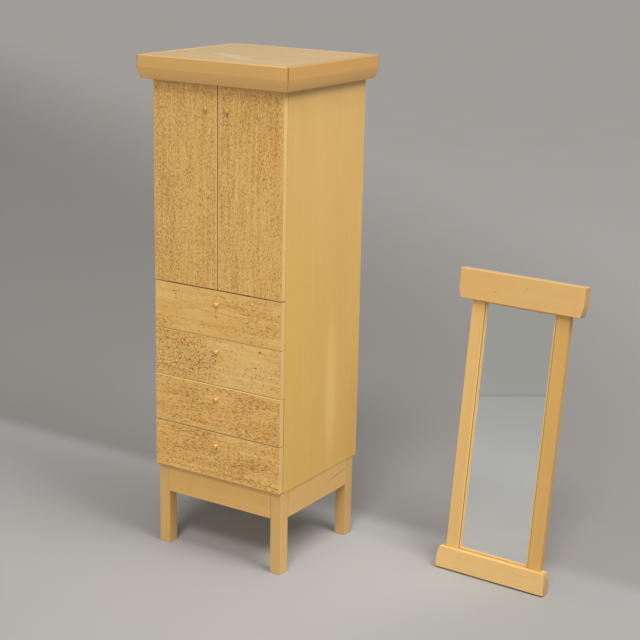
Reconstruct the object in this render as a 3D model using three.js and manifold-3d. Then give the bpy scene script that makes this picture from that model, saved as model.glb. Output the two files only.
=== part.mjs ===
// A tall birch cabinet, two doors over four drawers on a legged base, and its matching mirror,
// which stands beside it and leans back.
// Millimetres, +Z up. The fronts face -Y, and left and right are a viewer's who faces them.
import * as THREE from 'three';
import { mergeVertices } from 'three/addons/utils/BufferGeometryUtils.js';
import { RoundedBoxGeometry } from 'three/addons/geometries/RoundedBoxGeometry.js';
import Module from 'manifold-3d';

const wasm = await Module();
wasm.setup();

// Fronts: two doors and four drawer fronts that cover the whole face of the case
const frontsWidth = 450;
const frontThickness = 17;
const doorGap = 3;
const frontStandOff = 1.2;
const frontArris = 1.2;
const drawerCount = 4;
const drawerPitch = 143.5;
const drawerGaps = [doorGap, 1, 1, 2];
const drawerProud = [0, 0, 1.5, 1.5];
const doorHeight = 582;
const frontsLift = 4;

// Case
const overallDepth = 420;
const sideThickness = 18;
const bottomThickness = 18;
const topThickness = 18;
const dividerThickness = 18;
const shelfThickness = 18;
const shelfRise = 285;
const shelfSetBack = 12;
const backThickness = 6;
const backRebate = 4;
const sideArris = 1;

// Cornice: a band over a slightly rounded bevel, mitred at the four corners
const corniceProud = 32.5;
const corniceRearProud = 16;
const bandHeight = 34;
const bevelHeight = 32;
const bevelInset = 8;
const bevelBulge = 2.2;
const bevelSteps = 5;
const corniceEdge = 20;
const corniceSeat = 64;
const corniceArris = 1;
const mitreGap = 0.2;
const topPanelThickness = 18;

// Base
const baseHeight = 254;
const legSize = 37;
const legArris = 1.5;
const baseSideInset = 2;
const baseFrontInset = 11;
const baseRearInset = 15;
const baseRailHeight = 83;
const baseRailThickness = 20;

// Drawer boxes and the strips that they run on
const boxLength = 370;
const boxHeight = 95;
const boxLift = 30;
const boxWall = 12;
const boxFloor = 6;
const boxSideGap = 1.5;
const runnerWidth = 15;
const runnerHeight = 15;
const runnerSetBack = 2;

// Door pivots: a pin on a brass plate above and below each door, near its outer edge
const pivotInset = 4.4;
const pivotDepth = 7.5;
const pinRadius = 2;
const pinLength = 9;
const pinSides = 24;
const plateThickness = 2;
const plateWidth = 23;
const plateMargin = 4;
const tongueThickness = 1.8;
const tongueMargin = 4;
const tongueWidth = 24;
const tongueReach = 26;

// Door catch under the case top
const catchWidth = 44;
const catchDepth = 28;
const catchHeight = 12;

// Knobs: small turned pegs, each on a spigot
const knobProud = 13;
const knobHeadRadius = 6.5;
const knobNeckRadius = 4;
const knobFootRadius = 5;
const knobHeadLength = 8;
const knobCrown = 1.2;
const spigotRadius = 3;
const spigotLength = 12;
const knobSides = 20;
const doorKnobFromMiddle = 36;
const doorKnobFromTop = 67;
const drawerKnobFromTop = 40;

// Mirror
const mirrorLength = 898;
const mirrorTopWidth = 393;
const mirrorBottomWidth = 353;
const mirrorBodyWidth = 310;
const topRailHeight = 87;
const bottomRailHeight = 65;
const railThickness = 35;
const railEndTaper = 8.5;
const topRailStraight = 48;
const bottomRailStraight = 37;
const railArris = 1.5;
const railArrisSteps = 2;
const railCurveSteps = 6;
const stileWidth = 41.4;
const stileThickness = 21.5;
const stileArris = 3;
const stileArrisSteps = 3;
const rebateWidth = 8;
const lipThickness = 4;
const slipShow = 6.4;
const slipThickness = 4;
const glassThickness = 4;
const mirrorBackThickness = 4;
const hangerWidth = 40;
const hangerHeight = 20;
const hangerThickness = 2;
const hangerFromTop = 25;
const hangerSlotWidth = 8;
const hangerSlotLength = 20;

// Where the mirror stands: the place of its back lower edge, its turn and how far it leans back
const mirrorX = 744.5;
const mirrorY = 356;
const mirrorTurn = THREE.MathUtils.degToRad(-1.6);
const mirrorLean = THREE.MathUtils.degToRad(7.4);

// Clearances
const fitGap = 0.3;
const runGap = 0.3;
const holeSpare = 1;
const cutSpare = 1;
const mergeDistance = 1e-4;
const blockArrisSteps = 1;
const largestArrisShare = 1 / 3;

// Levels and planes worked out from the sizes above
const halfWidth = frontsWidth / 2;
const caseFront = frontThickness + frontStandOff;
const caseRear = overallDepth;
const backRear = caseRear - backRebate;
const backFront = backRear - backThickness;
const innerHalf = halfWidth - sideThickness;
const frontsBottom = baseHeight + frontsLift;
const doorBottom = frontsBottom + drawerCount * drawerPitch;
const doorTop = doorBottom + doorHeight;
const caseTop = doorTop + doorGap;
const dividerMiddle = doorBottom - doorGap / 2;
const dividerTop = dividerMiddle + dividerThickness / 2;
const corniceTop = caseTop + bevelHeight + bandHeight;

const birch = { color: 0xdbb072, roughness: 0.45, metalness: 0 };
const figuredBirch = { color: 0xc99c58, roughness: 0.4, metalness: 0 };
const innerBirch = { color: 0xd9bd8b, roughness: 0.6, metalness: 0 };
const plywood = { color: 0xcfb083, roughness: 0.7, metalness: 0 };
const turnedBirch = { color: 0xdfb671, roughness: 0.4, metalness: 0 };
const brass = { color: 0xb5975a, roughness: 0.35, metalness: 1 };
const steel = { color: 0x9a9a98, roughness: 0.4, metalness: 1 };
const silvered = { color: 0xb9c0bd, roughness: 0.05, metalness: 1 };
const hardboard = { color: 0x6d5237, roughness: 0.85, metalness: 0 };

// A closed three.js geometry as a solid that can be joined and cut, and back again
function solidOf(geometry) {
  const bare = geometry.clone();
  bare.deleteAttribute('normal');
  bare.deleteAttribute('uv');
  const merged = mergeVertices(bare, mergeDistance);
  const mesh = new wasm.Mesh({
    numProp: 3,
    vertProperties: new Float32Array(merged.attributes.position.array),
    triVerts: new Uint32Array(merged.index.array),
  });
  return new wasm.Manifold(mesh);
}

function geometryOf(solid) {
  const mesh = solid.getMesh();
  const geometry = new THREE.BufferGeometry();
  geometry.setAttribute('position', new THREE.BufferAttribute(mesh.vertProperties, 3));
  geometry.setIndex(new THREE.BufferAttribute(mesh.triVerts, 1));
  const faceted = geometry.toNonIndexed();
  faceted.computeVertexNormals();
  return faceted;
}

function cut(geometry, cutters) {
  return geometryOf(cutters.reduce((left, cutter) => left.subtract(solidOf(cutter)), solidOf(geometry)));
}

function join(parts) {
  return geometryOf(parts.slice(1).reduce((whole, part) => whole.add(solidOf(part)), solidOf(parts[0])));
}

// A block between two corners, given as three spans
const block = (x, y, z, arris = 0) => {
  const sizes = [x, y, z].map(([low, high]) => Math.abs(high - low));
  const middle = [x, y, z].map(([low, high]) => (low + high) / 2);
  const eased = Math.min(arris, ...sizes.map((size) => size * largestArrisShare));
  const shape = arris > 0
    ? new RoundedBoxGeometry(...sizes, blockArrisSteps, eased)
    : new THREE.BoxGeometry(...sizes);
  return shape.translate(...middle);
};

const post = (radius, x, y, z) => {
  const [low, high] = z;
  const shape = new THREE.CylinderGeometry(radius, radius, high - low, pinSides);
  return shape.rotateX(Math.PI / 2).translate(x, y, (low + high) / 2);
};

const bore = (radius, x, z, y) => {
  const [low, high] = y;
  const shape = new THREE.CylinderGeometry(radius, radius, high - low, knobSides);
  return shape.translate(x, (low + high) / 2, z);
};

// A named piece, with its geometry about its own middle and its place in its position
function piece(parent, name, geometry, finish) {
  geometry.computeBoundingBox();
  const middle = geometry.boundingBox.getCenter(new THREE.Vector3());
  geometry.translate(-middle.x, -middle.y, -middle.z);
  const mesh = new THREE.Mesh(geometry, new THREE.MeshStandardMaterial(finish));
  mesh.name = name;
  mesh.position.copy(middle);
  parent.add(mesh);
  return mesh;
}

const sides = [['left', -1], ['right', 1]];

// The lower pivot's tongue lies in the gap under the door and in a kerf at the divider's end
const tongueSpan = (sign, spare) => ({
  x: [sign * (innerHalf - tongueWidth - spare), sign * (innerHalf - fitGap + spare)],
  y: [caseFront - spare, caseFront + tongueReach + spare],
  z: [dividerMiddle - tongueThickness / 2 - spare, dividerMiddle + tongueThickness / 2 + spare],
});

// Carcass: two sides, and the boards and back panel between them
function carcass() {
  const group = new THREE.Group();
  const between = [-innerHalf, innerHalf];
  for (const [side, sign] of sides) {
    const across = [sign * innerHalf, sign * halfWidth];
    const panel = block(across, [caseFront, caseRear], [baseHeight, caseTop], sideArris);
    piece(group, `side_${side}`, panel, birch);
  }
  const board = (low, thickness, setBack) => (
    block(between, [caseFront + setBack, backFront], [low, low + thickness]));
  const kerfs = sides.map(([, sign]) => {
    const span = tongueSpan(sign, fitGap);
    return block(span.x, span.y, span.z);
  });
  piece(group, 'case_bottom', board(baseHeight, bottomThickness, 0), innerBirch);
  piece(group, 'divider', cut(board(dividerTop - dividerThickness, dividerThickness, 0), kerfs), innerBirch);
  piece(group, 'shelf', board(dividerTop + shelfRise, shelfThickness, shelfSetBack), innerBirch);
  piece(group, 'case_top', board(caseTop - topThickness, topThickness, 0), innerBirch);
  piece(group, 'back_panel', block(between, [backFront, backRear], [baseHeight, caseTop]), plywood);
  return group;
}

// Cornice section: x runs inwards from the band's face, y up from the case top
function corniceSection() {
  const top = bevelHeight + bandHeight;
  const ledge = top - topPanelThickness;
  const shape = new THREE.Shape();
  shape.moveTo(corniceSeat, 0);
  shape.lineTo(corniceSeat, ledge);
  shape.lineTo(corniceEdge, ledge);
  shape.lineTo(corniceEdge, top);
  shape.lineTo(corniceArris, top);
  shape.lineTo(0, top - corniceArris);
  shape.lineTo(0, bevelHeight);
  const bevelMiddle = new THREE.Vector2(bevelInset / 2 - bevelBulge, bevelHeight / 2);
  const bevel = new THREE.QuadraticBezierCurve(
    new THREE.Vector2(0, bevelHeight), bevelMiddle, new THREE.Vector2(bevelInset, 0));
  for (const point of bevel.getPoints(bevelSteps).slice(1)) {
    shape.lineTo(point.x, point.y);
  }
  return shape;
}

// A length of cornice with its ends cut at 45 degrees: x along it, y inwards, z up
function corniceLength(length) {
  const geometry = new THREE.ExtrudeGeometry(corniceSection(), { depth: 1, bevelEnabled: false });
  const position = geometry.attributes.position;
  for (let i = 0; i < position.count; i += 1) {
    const inwards = position.getX(i);
    const up = position.getY(i);
    const end = position.getZ(i) * 2 - 1;
    position.setXYZ(i, end * (length / 2 - mitreGap - inwards), inwards, up);
  }
  geometry.computeVertexNormals();
  return geometry;
}

function cornice() {
  const group = new THREE.Group();
  const halfX = halfWidth + corniceProud;
  const front = -corniceProud;
  const rear = caseRear + corniceRearProud;
  const middleY = (front + rear) / 2;
  const runs = [
    ['front', 2 * halfX, 0, front, 0],
    ['right', rear - front, halfX, middleY, Math.PI / 2],
    ['back', 2 * halfX, 0, rear, Math.PI],
    ['left', rear - front, -halfX, middleY, -Math.PI / 2],
  ];
  for (const [side, length, x, y, turn] of runs) {
    const run = new THREE.Group();
    run.position.set(x, y, caseTop);
    run.rotation.z = turn;
    piece(run, `cornice_${side}`, corniceLength(length), birch);
    group.add(run);
  }
  const inset = corniceEdge + fitGap;
  const panel = block(
    [-halfX + inset, halfX - inset],
    [front + inset, rear - inset],
    [corniceTop - topPanelThickness, corniceTop]);
  piece(group, 'top_panel', panel, birch);
  return group;
}

// Base: four square legs with a rail between each pair, flush with their outer faces
function base() {
  const group = new THREE.Group();
  const outerX = halfWidth - baseSideInset;
  const frontY = baseFrontInset;
  const rearY = caseRear - baseRearInset;
  const railSpan = [baseHeight - baseRailHeight, baseHeight];
  const rows = [['front', frontY, 1], ['rear', rearY, -1]];
  for (const [row, y, inwards] of rows) {
    for (const [side, sign] of sides) {
      const leg = block(
        [sign * outerX, sign * (outerX - legSize)], [y, y + inwards * legSize], [0, baseHeight], legArris);
      piece(group, `leg_${row}_${side}`, leg, birch);
    }
    const across = [-outerX + legSize, outerX - legSize];
    piece(group, `base_rail_${row}`, block(across, [y, y + inwards * baseRailThickness], railSpan), birch);
  }
  for (const [side, sign] of sides) {
    const across = [sign * outerX, sign * (outerX - baseRailThickness)];
    piece(group, `base_rail_${side}`, block(across, [frontY + legSize, rearY - legSize], railSpan), birch);
  }
  return group;
}

// A turned knob on its spigot, its axis along Y with the head towards -Y and its foot at y = 0
function knob() {
  const outline = [
    [0, -spigotLength],
    [spigotRadius, -spigotLength],
    [spigotRadius, 0],
    [knobFootRadius, 0],
    [knobNeckRadius, (knobProud - knobHeadLength) / 2],
    [(knobNeckRadius + knobHeadRadius) / 2, knobProud - knobHeadLength],
    [knobHeadRadius, knobProud - knobHeadLength / 2],
    [knobHeadRadius - knobCrown, knobProud - knobCrown],
    [0, knobProud],
  ];
  const points = outline.map(([radius, out]) => new THREE.Vector2(radius, out));
  return new THREE.LatheGeometry(points, knobSides).rotateX(Math.PI);
}

const knobHole = (x, z) => bore(spigotRadius + fitGap, x, z, [-cutSpare, spigotLength + holeSpare]);

// Doors: each turns on a pin above and a pin below, close to its outer edge
const pivotX = halfWidth - pivotInset;

function door(side, sign) {
  const group = new THREE.Group();
  const x = [sign * doorGap / 2, sign * halfWidth];
  const panel = block(x, [0, frontThickness], [doorBottom, doorTop], frontArris);
  const knobX = sign * doorKnobFromMiddle;
  const knobZ = doorTop - doorKnobFromTop;
  const holeRadius = pinRadius + fitGap;
  const topHole = post(
    holeRadius, sign * pivotX, pivotDepth, [doorTop - pinLength - holeSpare, doorTop + cutSpare]);
  const bottomHole = post(
    holeRadius, sign * pivotX, pivotDepth, [doorBottom - cutSpare, doorBottom + pinLength + holeSpare]);
  piece(group, `door_${side}_panel`, cut(panel, [topHole, bottomHole, knobHole(knobX, knobZ)]), figuredBirch);
  const peg = piece(group, `door_${side}_knob`, knob(), turnedBirch);
  peg.position.x += knobX;
  peg.position.z += knobZ;
  return group;
}

// The upper plate lies under the cornice, the lower one is the tongue that the divider holds
function pivots() {
  const group = new THREE.Group();
  for (const [side, sign] of sides) {
    const x = sign * pivotX;
    const plate = block(
      [sign * (pivotX + plateMargin), sign * (pivotX + plateMargin - plateWidth)],
      [pivotDepth - plateMargin, frontThickness], [caseTop - plateThickness, caseTop]);
    const upperPin = post(pinRadius, x, pivotDepth, [doorTop - pinLength, caseTop - plateThickness / 2]);
    piece(group, `pivot_top_${side}`, join([plate, upperPin]), brass);

    const span = tongueSpan(sign, 0);
    const tongueFront = pivotDepth - tongueMargin;
    const tongue = block([sign * (pivotX + tongueMargin), span.x[0]], [tongueFront, frontThickness], span.z);
    const tail = block(span.x, [tongueFront, span.y[1]], span.z);
    const lowerPin = post(pinRadius, x, pivotDepth, [dividerMiddle, doorBottom + pinLength]);
    piece(group, `pivot_bottom_${side}`, join([tongue, tail, lowerPin]), brass);
  }
  const catchFront = frontThickness + fitGap;
  const catchTop = caseTop - topThickness;
  const catchBlock = block(
    [-catchWidth / 2, catchWidth / 2],
    [catchFront, catchFront + catchDepth],
    [catchTop - catchHeight, catchTop]);
  piece(group, 'door_catch', catchBlock, steel);
  return group;
}

// Drawers, counted from the top: a front, an open box behind it and a knob
function drawer(number) {
  const group = new THREE.Group();
  group.position.y = -drawerProud[number - 1];
  const low = frontsBottom + (drawerCount - number) * drawerPitch;
  const high = low + drawerPitch - drawerGaps[number - 1];
  const knobZ = high - drawerKnobFromTop;
  const panel = block([-halfWidth, halfWidth], [0, frontThickness], [low, high], frontArris);
  piece(group, `drawer_${number}_front`, cut(panel, [knobHole(0, knobZ)]), figuredBirch);

  const boxHalf = innerHalf - boxSideGap;
  const boxLow = low + boxLift;
  const boxHigh = boxLow + boxHeight;
  const boxRear = frontThickness + boxLength;
  const outside = block([-boxHalf, boxHalf], [frontThickness, boxRear], [boxLow, boxHigh]);
  const hollow = block(
    [-boxHalf + boxWall, boxHalf - boxWall], [frontThickness + boxWall, boxRear - boxWall],
    [boxLow + boxFloor, boxHigh + cutSpare]);
  piece(group, `drawer_${number}_box`, cut(outside, [hollow]), innerBirch);

  const peg = piece(group, `drawer_${number}_knob`, knob(), turnedBirch);
  peg.position.z += knobZ;
  return group;
}

// A wooden strip on each side of the case carries each drawer box by its lower edges
function runners() {
  const group = new THREE.Group();
  for (let number = 1; number <= drawerCount; number += 1) {
    const boxLow = frontsBottom + (drawerCount - number) * drawerPitch + boxLift;
    const height = [boxLow - runGap - runnerHeight, boxLow - runGap];
    for (const [side, sign] of sides) {
      const across = [sign * innerHalf, sign * (innerHalf - runnerWidth)];
      const strip = block(across, [caseFront + runnerSetBack, backFront], height);
      piece(group, `drawer_${number}_runner_${side}`, strip, innerBirch);
    }
  }
  return group;
}

// A mirror rail's outline, its ends drawn in towards the stiles: x across, y away from the stiles
function railOutline(width, height, straight) {
  const half = width / 2;
  const narrow = half - railEndTaper;
  const tapered = height - straight;
  const shape = new THREE.Shape();
  shape.moveTo(-narrow, 0);
  shape.lineTo(narrow, 0);
  shape.quadraticCurveTo(half, tapered / 2, half, tapered);
  shape.lineTo(half, height);
  shape.lineTo(-half, height);
  shape.lineTo(-half, tapered);
  shape.quadraticCurveTo(-half, tapered / 2, -narrow, 0);
  return shape;
}

// The outline as a rail between the planes y = -railThickness and y = 0, with its face arrises eased
function railSolid(width, height, straight) {
  const geometry = new THREE.ExtrudeGeometry(railOutline(width, height, straight), {
    depth: railThickness - 2 * railArris,
    bevelEnabled: true,
    bevelThickness: railArris,
    bevelSize: railArris,
    bevelOffset: -railArris,
    bevelSegments: railArrisSteps,
    curveSegments: railCurveSteps,
  });
  return geometry.rotateX(Math.PI / 2).translate(0, -railArris, 0);
}

// A stile's section: x inwards from its outer edge, y from the front face, which is at y = 0
function stileSection() {
  const shape = new THREE.Shape();
  const edge = railArris;
  shape.moveTo(edge, 0);
  shape.lineTo(stileWidth - stileArris, 0);
  for (let i = 1; i <= stileArrisSteps; i += 1) {
    const angle = (i / stileArrisSteps) * Math.PI / 2;
    const x = stileWidth - stileArris + stileArris * Math.sin(angle);
    shape.lineTo(x, stileArris - stileArris * Math.cos(angle));
  }
  shape.lineTo(stileWidth, lipThickness);
  shape.lineTo(stileWidth - rebateWidth, lipThickness);
  shape.lineTo(stileWidth - rebateWidth, stileThickness);
  shape.lineTo(0, stileThickness);
  shape.lineTo(0, edge);
  return shape;
}

// A slip of one side of the mirror, mitred at both ends: x along it, y its thickness, z outwards
function slipLength(length) {
  const width = rebateWidth - fitGap + slipShow;
  const shape = new THREE.Shape();
  shape.moveTo(-length / 2 + mitreGap, 0);
  shape.lineTo(length / 2 - mitreGap, 0);
  shape.lineTo(length / 2 - mitreGap - width, width);
  shape.lineTo(-length / 2 + mitreGap + width, width);
  const geometry = new THREE.ExtrudeGeometry(shape, { depth: slipThickness, bevelEnabled: false });
  return geometry.rotateX(Math.PI / 2);
}

// Mirror: x across its face, y backwards with its back at y = 0, z up its face from its foot
function mirror() {
  const group = new THREE.Group();
  const bodyHalf = mirrorBodyWidth / 2;
  const openingHalf = bodyHalf - stileWidth;
  const rebateHalf = openingHalf + rebateWidth;
  const stileLow = bottomRailHeight;
  const stileHigh = mirrorLength - topRailHeight;
  const stileFront = -stileThickness;
  const rebateFront = stileFront + lipThickness;
  const slipFront = rebateFront + fitGap;
  const slipBack = slipFront + slipThickness;
  const glassFront = slipBack + fitGap;
  const glassBack = glassFront + glassThickness;
  const backboardFront = glassBack + fitGap;
  const rebateX = [-rebateHalf, rebateHalf];
  const rebateY = [rebateFront, cutSpare];

  const topRail = railSolid(mirrorTopWidth, topRailHeight, topRailStraight).translate(0, 0, stileHigh);
  const topRebate = block(rebateX, rebateY, [stileHigh - cutSpare, stileHigh + rebateWidth]);
  const hangerLow = mirrorLength - hangerFromTop - hangerHeight;
  const hangerSpan = (spare) => [
    [-hangerWidth / 2 - spare, hangerWidth / 2 + spare],
    [hangerLow - spare, hangerLow + hangerHeight + spare],
  ];
  const [pocketX, pocketZ] = hangerSpan(fitGap);
  const pocket = block(pocketX, [-hangerThickness, cutSpare], pocketZ);
  piece(group, 'mirror_top_rail', cut(topRail, [topRebate, pocket]), birch);

  const bottomRail = railSolid(mirrorBottomWidth, bottomRailHeight, bottomRailStraight);
  bottomRail.rotateY(Math.PI).translate(0, 0, bottomRailHeight);
  const bottomRebate = block(rebateX, rebateY, [stileLow - rebateWidth, stileLow + cutSpare]);
  piece(group, 'mirror_bottom_rail', cut(bottomRail, [bottomRebate]), birch);

  for (const [side, sign] of sides) {
    const stileLength = stileHigh - stileLow - 2 * fitGap;
    const stile = new THREE.ExtrudeGeometry(stileSection(), { depth: stileLength, bevelEnabled: false });
    stile.translate(-bodyHalf, stileFront, stileLow + fitGap);
    const geometry = sign < 0 ? stile : mirrored(stile);
    piece(group, `mirror_stile_${side}`, geometry, birch);
  }

  const slipOuterX = rebateHalf - fitGap;
  const slipLow = stileLow - rebateWidth + fitGap;
  const slipHigh = stileHigh + rebateWidth - fitGap;
  const slipMiddle = (slipLow + slipHigh) / 2;
  const slips = [
    ['bottom', 2 * slipOuterX, 0, slipLow, 0],
    ['right', slipHigh - slipLow, slipOuterX, slipMiddle, -Math.PI / 2],
    ['top', 2 * slipOuterX, 0, slipHigh, Math.PI],
    ['left', slipHigh - slipLow, -slipOuterX, slipMiddle, Math.PI / 2],
  ];
  for (const [side, length, x, z, turn] of slips) {
    const run = new THREE.Group();
    run.position.set(x, slipBack, z);
    run.rotation.y = turn;
    piece(run, `mirror_slip_${side}`, slipLength(length), birch);
    group.add(run);
  }

  const paneX = [-slipOuterX, slipOuterX];
  const paneZ = [slipLow, slipHigh];
  piece(group, 'mirror_glass', block(paneX, [glassFront, glassBack], paneZ), silvered);
  const backboard = block(paneX, [backboardFront, backboardFront + mirrorBackThickness], paneZ);
  piece(group, 'mirror_backboard', backboard, hardboard);

  const [plateX, plateZ] = hangerSpan(0);
  const hangerY = [-hangerThickness + fitGap, 0];
  const hangerMiddle = hangerLow + hangerHeight / 2;
  const slot = block(
    [-hangerSlotLength / 2, hangerSlotLength / 2], [hangerY[0] - cutSpare, hangerY[1] + cutSpare],
    [hangerMiddle - hangerSlotWidth / 2, hangerMiddle + hangerSlotWidth / 2]);
  piece(group, 'mirror_hanger', cut(block(plateX, hangerY, plateZ), [slot]), steel);
  return group;
}

// The same shape on the other side of x = 0, its faces still pointing out
function mirrored(geometry) {
  const flipped = geometry.clone();
  const position = flipped.attributes.position;
  for (let i = 0; i < position.count; i += 3) {
    const [a, b, c] = [0, 1, 2].map((k) => new THREE.Vector3().fromBufferAttribute(position, i + k));
    [a, c, b].forEach((corner, k) => position.setXYZ(i + k, -corner.x, corner.y, corner.z));
  }
  flipped.computeVertexNormals();
  return flipped;
}

const cabinet = new THREE.Group();
cabinet.add(carcass(), cornice(), base(), pivots(), runners());
for (const [side, sign] of sides) {
  cabinet.add(door(side, sign));
}
for (let number = 1; number <= drawerCount; number += 1) {
  cabinet.add(drawer(number));
}

const leaning = mirror();
leaning.rotation.x = -mirrorLean;
const mirrorPlace = new THREE.Group();
mirrorPlace.position.set(mirrorX, mirrorY, 0);
mirrorPlace.rotation.z = mirrorTurn;
mirrorPlace.add(leaning);

// The origin is under the middle of the whole set's box, at the level of its feet
const group = new THREE.Group();
group.add(cabinet, mirrorPlace);
group.updateMatrixWorld(true);
const bounds = new THREE.Box3().setFromObject(group, true);
const middle = bounds.getCenter(new THREE.Vector3());
group.position.set(-middle.x, -middle.y, -bounds.min.z);
group.updateMatrixWorld(true);

export default group;
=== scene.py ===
# %% [markdown]
# # A tall birch cabinet and its mirror
# The set has two things: a narrow cabinet, two doors over four drawers on a legged base, and a
# mirror that stands beside it and leans back. The CAD model already has every board in its place
# and size, so no board is modelled again here. This script gives the wood, brass and glass their
# looks, turns finer knobs, adds the small fixings, and sets up a soft studio.
#
# The first step loads that model. Each board arrives as an object whose place is in its mesh, in
# metres, with Z up and the fronts facing -Y.

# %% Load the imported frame
import math

import bpy
from mathutils import Matrix, Vector


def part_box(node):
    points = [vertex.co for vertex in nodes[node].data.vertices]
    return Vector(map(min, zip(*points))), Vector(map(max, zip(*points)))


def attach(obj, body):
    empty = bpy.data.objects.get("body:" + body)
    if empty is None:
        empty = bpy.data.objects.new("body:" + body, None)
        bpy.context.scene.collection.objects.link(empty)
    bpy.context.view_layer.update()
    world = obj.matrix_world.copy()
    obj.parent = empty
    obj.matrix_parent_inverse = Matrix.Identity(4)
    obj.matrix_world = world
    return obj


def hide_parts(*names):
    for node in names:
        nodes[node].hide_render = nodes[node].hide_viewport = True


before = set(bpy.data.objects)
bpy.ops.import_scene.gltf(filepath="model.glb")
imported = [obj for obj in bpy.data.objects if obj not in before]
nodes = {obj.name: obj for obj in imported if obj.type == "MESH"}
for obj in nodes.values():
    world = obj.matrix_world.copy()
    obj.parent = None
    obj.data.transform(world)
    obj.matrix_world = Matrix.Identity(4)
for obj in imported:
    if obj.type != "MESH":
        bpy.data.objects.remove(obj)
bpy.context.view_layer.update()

MM = 0.001

# %% [markdown]
# ## Camera
# The photograph was taken with a long lens from above the cabinet's top and to its right. Its angle
# was worked out from the cabinet's straight edges. A camera can be aimed with a constraint or with
# Euler angles. Here its three axes are built from the azimuth, the elevation and a slight roll,
# because those are the numbers that the fit gives.

# %% Camera
CAMERA_PLACE = Vector((2.1747, -3.6262, 1.926))
AZIMUTH, ELEVATION, ROLL = (math.radians(angle) for angle in (32.48, 15.57, -1.14))
LENS = 85.905
SENSOR = 36.0
NEAR, FAR = 0.1, 200.0

towards_camera = Vector((
    math.sin(AZIMUTH) * math.cos(ELEVATION), -math.cos(AZIMUTH) * math.cos(ELEVATION), math.sin(ELEVATION)))
camera_data = bpy.data.cameras.new("camera")
camera_data.lens = LENS
camera_data.sensor_width = SENSOR
camera_data.clip_start, camera_data.clip_end = NEAR, FAR
camera = bpy.data.objects.new("camera", camera_data)
aim = (-towards_camera).to_track_quat("-Z", "Y").to_matrix() @ Matrix.Rotation(-ROLL, 3, "Z")
camera.matrix_world = Matrix.Translation(CAMERA_PLACE) @ aim.to_4x4()
bpy.context.collection.objects.link(camera)
bpy.context.scene.camera = camera
print("camera at", [round(value, 3) for value in CAMERA_PLACE])

# %% [markdown]
# ## Studio light
# The light in the room is broad and soft. The fronts get it from a little right of the front: a low
# share, and a higher one by which each knob shades the wood below it and the cornice the heads of the
# doors. More comes from high on the right, so that the side is a little brighter than the front. The
# strengths were fitted to the brightness of the set's faces, and the boards' tints further down make
# up for what the lamps leave.
# Sun lamps with a wide angle give soft light evenly. The one area lamp is at the right, because its
# light falls off, and the side is brighter near its top than at its foot. The world adds light from
# all round, and it is what the glass and the lacquer reflect.

# %% Studio light
scene = bpy.context.scene
scene.view_settings.view_transform = "Standard"

SUNS = (
    # azimuth it comes from, elevation, strength, width of the lamp in degrees, colour
    ("low front", 20, 24, 0.36, 25, (1.0, 0.985, 0.96)),
    ("high front", 20, 52, 1.23, 18, (1.0, 0.985, 0.96)),
    ("high side", 80, 75, 0.66, 35, (1.0, 0.99, 0.97)),
)
SIDE_AZIMUTH, SIDE_HEIGHT, SIDE_DISTANCE, SIDE_SIZE, SIDE_WATTS = 80, 50, 3.6, 1.6, 96
SIDE_MIDDLE = Vector((-0.12, 0.0, 0.9))


def hang_lamp(name, kind, azimuth, elevation, strength, colour, place=Vector()):
    """A lamp that shines from that azimuth and elevation, in degrees."""
    lamp = bpy.data.lights.new(name, kind)
    lamp.energy = strength
    lamp.color = colour
    holder = bpy.data.objects.new(name, lamp)
    turn, rise = math.radians(azimuth), math.radians(elevation)
    source = Vector((math.sin(turn) * math.cos(rise), -math.cos(turn) * math.cos(rise), math.sin(rise)))
    holder.rotation_euler = (-source).to_track_quat("-Z", "Y").to_euler()
    holder.location = place + source * SIDE_DISTANCE
    holder.visible_camera = False
    bpy.context.collection.objects.link(holder)
    return lamp


for name, azimuth, elevation, strength, width, colour in SUNS:
    hang_lamp(name, "SUN", azimuth, elevation, strength, colour).angle = math.radians(width)
side_lamp = hang_lamp("side", "AREA", SIDE_AZIMUTH, SIDE_HEIGHT, SIDE_WATTS, (1.0, 0.99, 0.97), SIDE_MIDDLE)
side_lamp.size = SIDE_SIZE

ROOM_GREY = (0.465, 0.475, 0.450, 1.0)
CEILING = (0.060, 0.060, 0.058, 1.0)
world = bpy.data.worlds.new("studio")
scene.world = world
world.use_nodes = True
sky = world.node_tree
direction = sky.nodes.new("ShaderNodeTexCoord")
height = sky.nodes.new("ShaderNodeSeparateXYZ")
overhead = sky.nodes.new("ShaderNodeMapRange")
overhead.interpolation_type = "SMOOTHSTEP"
overhead.inputs["From Min"].default_value = 0.30
overhead.inputs["From Max"].default_value = 0.90
blend = sky.nodes.new("ShaderNodeMix")
blend.data_type = "RGBA"
blend.inputs[6].default_value = ROOM_GREY
blend.inputs[7].default_value = CEILING
sky.links.new(direction.outputs["Generated"], height.inputs[0])
sky.links.new(height.outputs["Z"], overhead.inputs["Value"])
sky.links.new(overhead.outputs[0], blend.inputs[0])
sky.links.new(blend.outputs[2], sky.nodes["Background"].inputs["Color"])
print("lights:", ", ".join(name for name, *_ in SUNS), "and the world")

# %% [markdown]
# ## A bench for materials
# Every finish here is a node tree. Written out one node at a time, a tree hides its own idea, so a
# small helper class adds a node, sets its sockets and returns its output. A finish then reads like
# a recipe: take the object's coordinates, stretch them along the grain, make noise, mix colours.
# The trees of Geometry Nodes further down are built on the same bench.

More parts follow.
